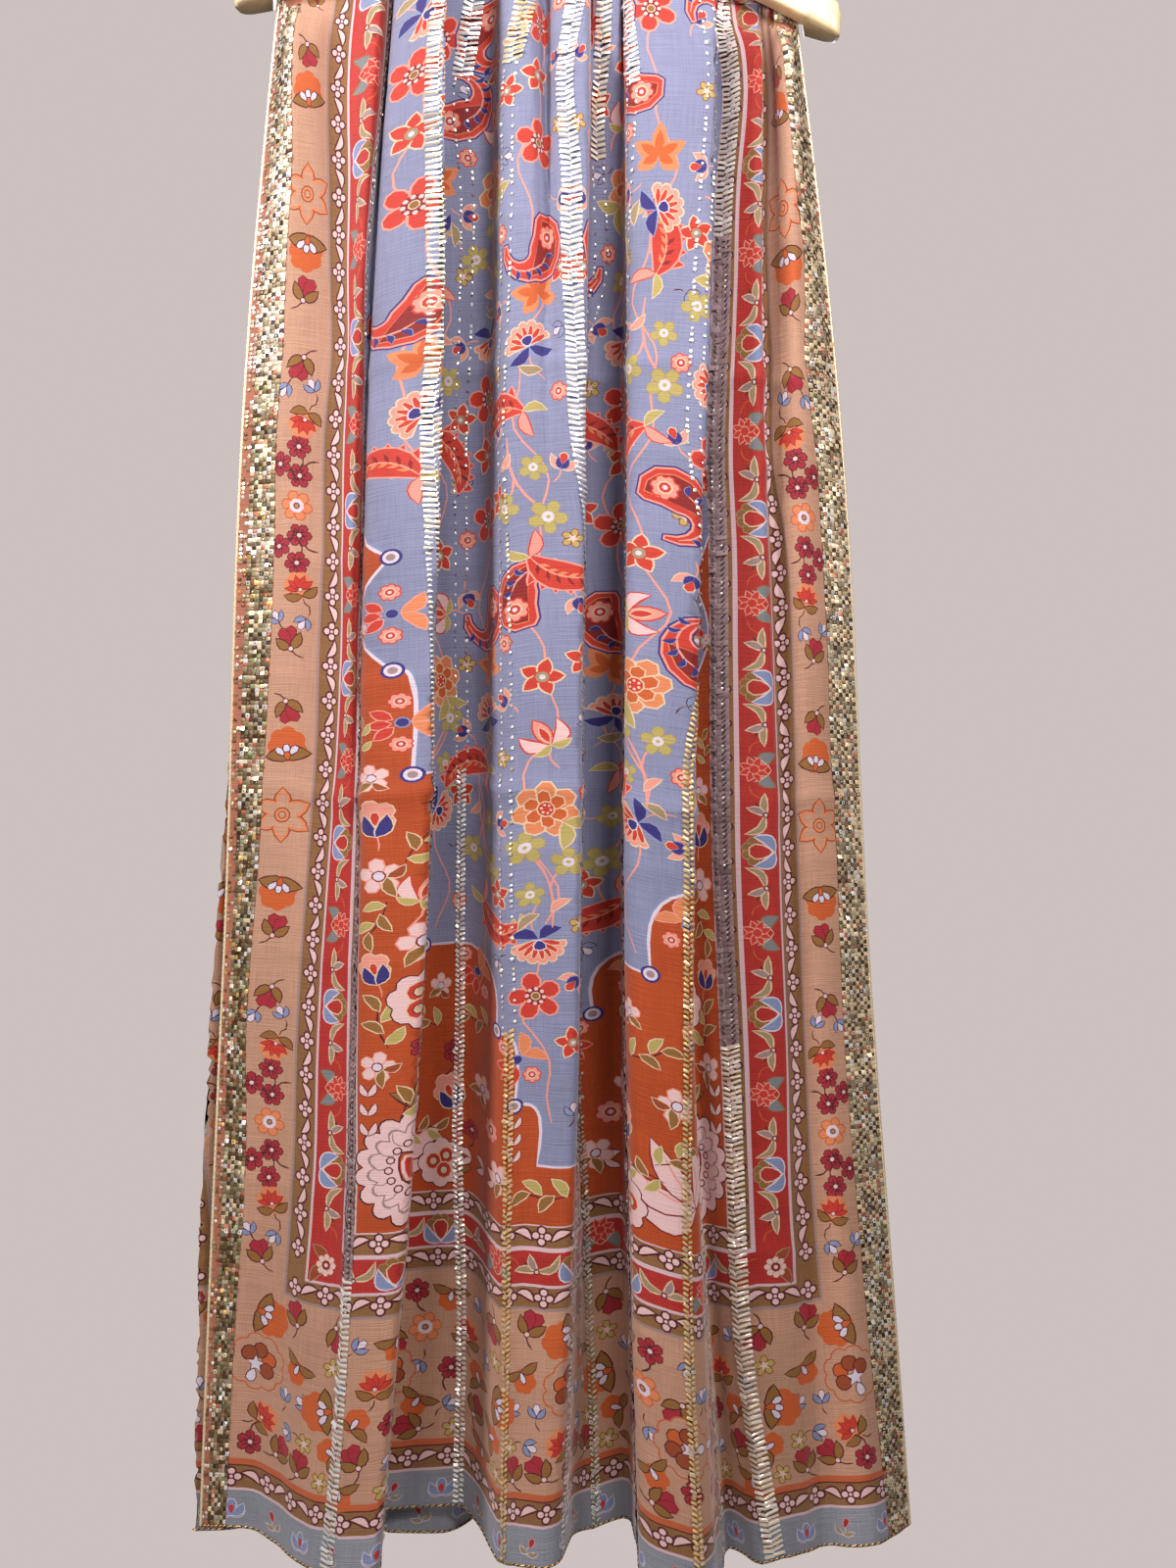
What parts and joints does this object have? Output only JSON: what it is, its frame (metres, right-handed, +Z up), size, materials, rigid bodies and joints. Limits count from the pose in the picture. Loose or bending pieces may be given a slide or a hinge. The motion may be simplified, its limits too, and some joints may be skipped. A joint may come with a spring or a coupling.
{
  "type": "printed dupatta on a wooden hanger",
  "caption": "Long sheer printed dupatta with woven metallic stripes, folded over the trouser bar of a wooden hanger in soft pleats.",
  "frame": {"origin": "the point inside the hook that rests on the rail or peg", "axes": "+Z up, -Y out of the cloth's face, +X towards the right arm as seen from the front"},
  "size_m": [0.5314, 0.1721, 1.304],
  "materials": {
    "printed_cloth": "sheer printed chiffon with woven metallic stripes",
    "hanger_wood": "clear lacquer on pale wood",
    "hook_steel": "bright plated wire"
  },
  "bodies": {
    "root": {"dupatta_front_fall": "printed_cloth", "dupatta_back_fall": "printed_cloth", "dupatta_over_bar": "printed_cloth", "hanger_shoulders": "hanger_wood", "hanger_bar": "hanger_wood", "hanger_hook": "hook_steel"}
  },
  "joints": []
}
